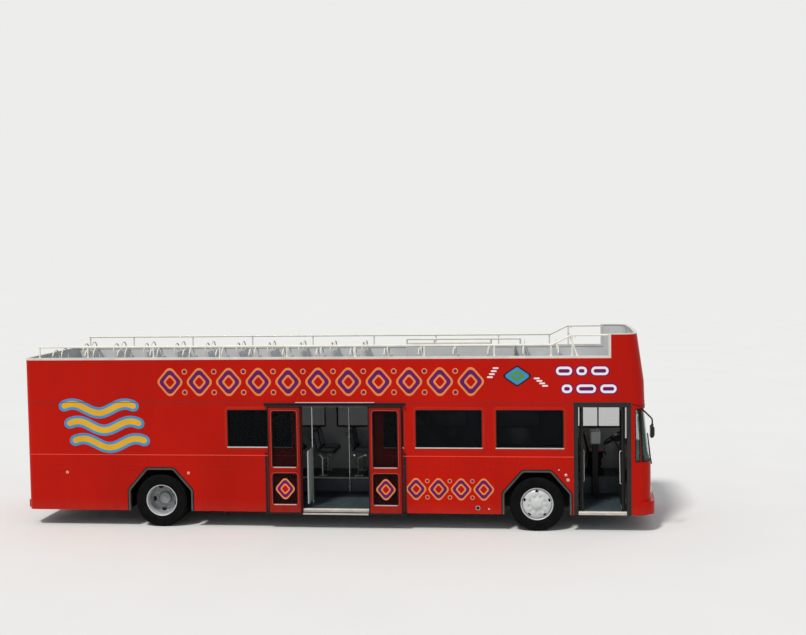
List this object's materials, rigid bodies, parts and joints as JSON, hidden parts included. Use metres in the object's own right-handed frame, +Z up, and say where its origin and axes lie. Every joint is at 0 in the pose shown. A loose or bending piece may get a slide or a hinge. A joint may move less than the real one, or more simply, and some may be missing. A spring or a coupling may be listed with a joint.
{
  "type": "open top double decker bus",
  "caption": "Open top double decker sightseeing bus with seats on both decks, inner stairs, steered front wheels, twin rear wheels, folding entry door and sliding centre door.",
  "frame": {"origin": "on the ground, under the middle of the bounding box", "axes": "+X forward, +Y to the driver's side, +Z up"},
  "size_m": [11.9098, 3.09, 3.622],
  "materials": {
    "red_paint": "gloss, sun-worn",
    "pale_lining": "satin",
    "floor_covering": "matt, ribbed",
    "dark_metal": "painted, dusty",
    "window_glass": "tinted",
    "cream_paint": "gloss",
    "steel_rail": "brushed",
    "seat_plastic": "grained",
    "seat_fabric": "woven",
    "black_trim": "satin",
    "lamp_lens": "moulded",
    "wheel_metal": "painted silver",
    "tyre_rubber": "matt"
  },
  "bodies": {
    "body": {"lower_wall_right_rear": "red_paint", "centre_door_header": "red_paint", "lower_wall_right_middle": "red_paint", "lower_wall_left": "red_paint", "rear_wall": "red_paint", "front_panel": "red_paint", "windscreen_surround": "red_paint", "front_cowl": "red_paint", "upper_side_panels": "red_paint", "upper_rear_panel": "red_paint", "bumpers": "red_paint", "deck_lining": "pale_lining", "parapet_cap": "pale_lining", "rear_bulkhead": "pale_lining", "upper_floor": "floor_covering", "lower_floor": "floor_covering", "stairs": "floor_covering", "wheel_housings": "dark_metal", "chassis_rails": "dark_metal", "front_axle": "dark_metal", "rear_axle": "dark_metal", "engine": "dark_metal", "windscreen": "window_glass", "side_windows": "window_glass", "side_rails": "cream_paint", "rail_posts": "cream_paint", "seat_handles": "cream_paint", "stair_guard": "steel_rail", "grab_poles": "steel_rail", "centre_door_rails": "steel_rail", "upper_seats": "seat_plastic", "lower_seats": "seat_plastic", "driver_seat": "seat_fabric", "dashboard": "black_trim", "fare_box": "black_trim", "entry_door_frame": "black_trim", "mirrors": "black_trim", "wipers": "black_trim", "lamps": "lamp_lens"},
    "knuckle_right": {"knuckle_right": "dark_metal"},
    "knuckle_left": {"knuckle_left": "dark_metal"},
    "front_wheel_right": {"front_wheel_right": "wheel_metal", "front_tyre_right": "tyre_rubber"},
    "front_wheel_left": {"front_wheel_left": "wheel_metal", "front_tyre_left": "tyre_rubber"},
    "rear_wheels_right": {"rear_wheels_right": "wheel_metal", "rear_tyres_right": "tyre_rubber"},
    "rear_wheels_left": {"rear_wheels_left": "wheel_metal", "rear_tyres_left": "tyre_rubber"},
    "entry_leaf_rear": {"entry_leaf_rear": "black_trim", "entry_leaf_rear_glass": "window_glass"},
    "entry_leaf_front": {"entry_leaf_front": "black_trim", "entry_leaf_front_glass": "window_glass"},
    "centre_leaf_rear": {"centre_leaf_rear": "red_paint", "centre_leaf_rear_glass": "window_glass"},
    "centre_leaf_front": {"centre_leaf_front": "red_paint", "centre_leaf_front_glass": "window_glass"},
    "engine_door": {"engine_door": "red_paint"},
    "steering_wheel": {"steering_wheel": "black_trim"}
  },
  "joints": [
    {"name": "steer_right", "type": "hinge", "parent": "body", "child": "knuckle_right", "pos_m": [3.795, -1, 0.5], "axis": [0, 0, 1], "range_deg": [-38, 38]},
    {"name": "steer_left", "type": "hinge", "parent": "body", "child": "knuckle_left", "pos_m": [3.795, 1, 0.5], "axis": [0, 0, 1], "range_deg": [-38, 38]},
    {"name": "steering_wheel_turn", "type": "hinge", "parent": "body", "child": "steering_wheel", "pos_m": [5.295, 0.74, 1.4], "axis": [-0.5736, 0, 0.8192], "range_deg": [-684, 684]},
    {"name": "front_wheel_right_roll", "type": "hinge", "parent": "knuckle_right", "child": "front_wheel_right", "pos_m": [3.795, -1.122, 0.5], "axis": [0, 1, 0], "continuous": true},
    {"name": "front_wheel_left_roll", "type": "hinge", "parent": "knuckle_left", "child": "front_wheel_left", "pos_m": [3.795, 1.122, 0.5], "axis": [0, 1, 0], "continuous": true},
    {"name": "rear_wheels_right_roll", "type": "hinge", "parent": "body", "child": "rear_wheels_right", "pos_m": [-3.28, -0.9545, 0.5], "axis": [0, 1, 0], "continuous": true},
    {"name": "rear_wheels_left_roll", "type": "hinge", "parent": "body", "child": "rear_wheels_left", "pos_m": [-3.28, 0.9545, 0.5], "axis": [0, 1, 0], "continuous": true},
    {"name": "entry_leaf_rear_turn", "type": "hinge", "parent": "body", "child": "entry_leaf_rear", "pos_m": [4.585, -1.225, 1.3], "axis": [0, 0, 1], "range_deg": [-90, 0]},
    {"name": "entry_leaf_front_turn", "type": "hinge", "parent": "body", "child": "entry_leaf_front", "pos_m": [5.371, -1.225, 1.3], "axis": [0, 0, 1], "range_deg": [0, 90]},
    {"name": "centre_leaf_rear_slide", "type": "slide", "parent": "body", "child": "centre_leaf_rear", "axis": [1, 0, 0], "range_m": [0, 0.632]},
    {"name": "centre_leaf_front_slide", "type": "slide", "parent": "body", "child": "centre_leaf_front", "axis": [-1, 0, 0], "range_m": [0, 0.632]},
    {"name": "engine_door_lift", "type": "hinge", "parent": "body", "child": "engine_door", "pos_m": [-5.94, 0, 1.312], "axis": [0, 1, 0], "range_deg": [0, 80]}
  ],
  "couplings": [
    {"joint": "steer_left", "follows": "steer_right", "ratio": 1},
    {"joint": "steering_wheel_turn", "follows": "steer_right", "ratio": 18},
    {"joint": "entry_leaf_front_turn", "follows": "entry_leaf_rear_turn", "ratio": -1},
    {"joint": "centre_leaf_front_slide", "follows": "centre_leaf_rear_slide", "ratio": 1}
  ]
}
